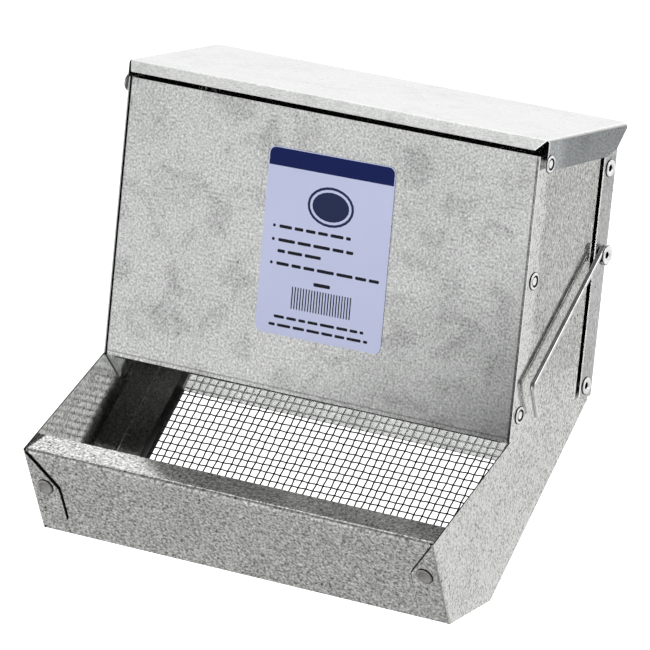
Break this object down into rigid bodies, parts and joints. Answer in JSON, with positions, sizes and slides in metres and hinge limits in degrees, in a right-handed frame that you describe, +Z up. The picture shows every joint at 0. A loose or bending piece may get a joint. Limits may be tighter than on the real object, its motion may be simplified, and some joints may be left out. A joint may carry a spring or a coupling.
{
  "type": "gravity feeder",
  "caption": "Galvanised sheet hopper with a hinged lid over a sloped woven-wire floor and an open front trough, held to a cage wall by wire hooks.",
  "frame": {"origin": "on the hopper front's outer face, on the middle plane, 75 mm above the trough's lowest front edge", "axes": "+X to the feeder's right as seen from the trough side, +Y from the trough towards the back wall, +Z up"},
  "size_m": [0.1868, 0.1202, 0.1781],
  "materials": {
    "galvanised_sheet": "hot-dip galvanised with a fine spangle, satin",
    "screen_wire": "galvanised woven wire, satin",
    "hook_wire": "bright zinc-plated wire",
    "rivet_steel": "zinc-plated, satin",
    "label": "printed vinyl sticker, satin"
  },
  "bodies": {
    "feeder": {"hopper_front": "galvanised_sheet", "hopper_back": "galvanised_sheet", "side_panel_left": "galvanised_sheet", "side_panel_right": "galvanised_sheet", "trough_front": "galvanised_sheet", "sifter_screen": "screen_wire", "card_holder": "galvanised_sheet", "label": "label", "rivet_front_mid_left": "rivet_steel", "rivet_front_mid_right": "rivet_steel", "rivet_front_low_left": "rivet_steel", "rivet_front_low_right": "rivet_steel", "rivet_back_top_left": "rivet_steel", "rivet_back_top_right": "rivet_steel", "rivet_back_low_left": "rivet_steel", "rivet_back_low_right": "rivet_steel", "rivet_hinge_left": "rivet_steel", "rivet_hinge_right": "rivet_steel", "rivet_hook_left": "rivet_steel", "rivet_hook_right": "rivet_steel", "rivet_tab_left": "rivet_steel", "rivet_tab_right": "rivet_steel", "rivet_card_left": "rivet_steel", "rivet_card_right": "rivet_steel"},
    "lid": {"lid": "galvanised_sheet"},
    "hook_left": {"wire_hook_left": "hook_wire"},
    "hook_right": {"wire_hook_right": "hook_wire"}
  },
  "joints": [
    {"name": "lid_hinge", "type": "hinge", "parent": "feeder", "child": "lid", "pos_m": [0, 0.0041, 0.0937], "axis": [1, 0, 0], "range_deg": [0, 94]},
    {"name": "hook_left_pivot", "type": "hinge", "parent": "feeder", "child": "hook_left", "pos_m": [-0.0917, 0.0554, 0.0535], "axis": [1, 0, 0], "range_deg": [-60, 40]},
    {"name": "hook_right_pivot", "type": "hinge", "parent": "feeder", "child": "hook_right", "pos_m": [0.0917, 0.0554, 0.0535], "axis": [1, 0, 0], "range_deg": [-60, 40]}
  ]
}
